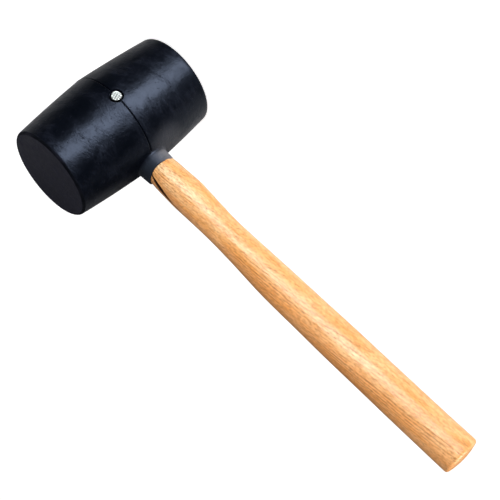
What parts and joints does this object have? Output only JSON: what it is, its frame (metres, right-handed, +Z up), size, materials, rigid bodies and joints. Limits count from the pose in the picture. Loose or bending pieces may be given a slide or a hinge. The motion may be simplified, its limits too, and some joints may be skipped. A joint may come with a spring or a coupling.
{
  "type": "rubber mallet",
  "caption": "Rubber mallet: a barrel-shaped moulded rubber head with a short collar on a lacquered hardwood handle, pinned by a cross nail.",
  "frame": {"origin": "centre of the lower striking face, on which the mallet stands", "axes": "+Z up along the head's axis to the other striking face, -X along the handle to its butt, -Y the side that the nail is driven in from"},
  "size_m": [0.3545, 0.0757, 0.114],
  "materials": {
    "rubber_head": "satin",
    "handle": "satin",
    "nail": "satin"
  },
  "bodies": {
    "root": {"rubber_head": "rubber_head", "handle": "handle", "nail": "nail"}
  },
  "joints": []
}
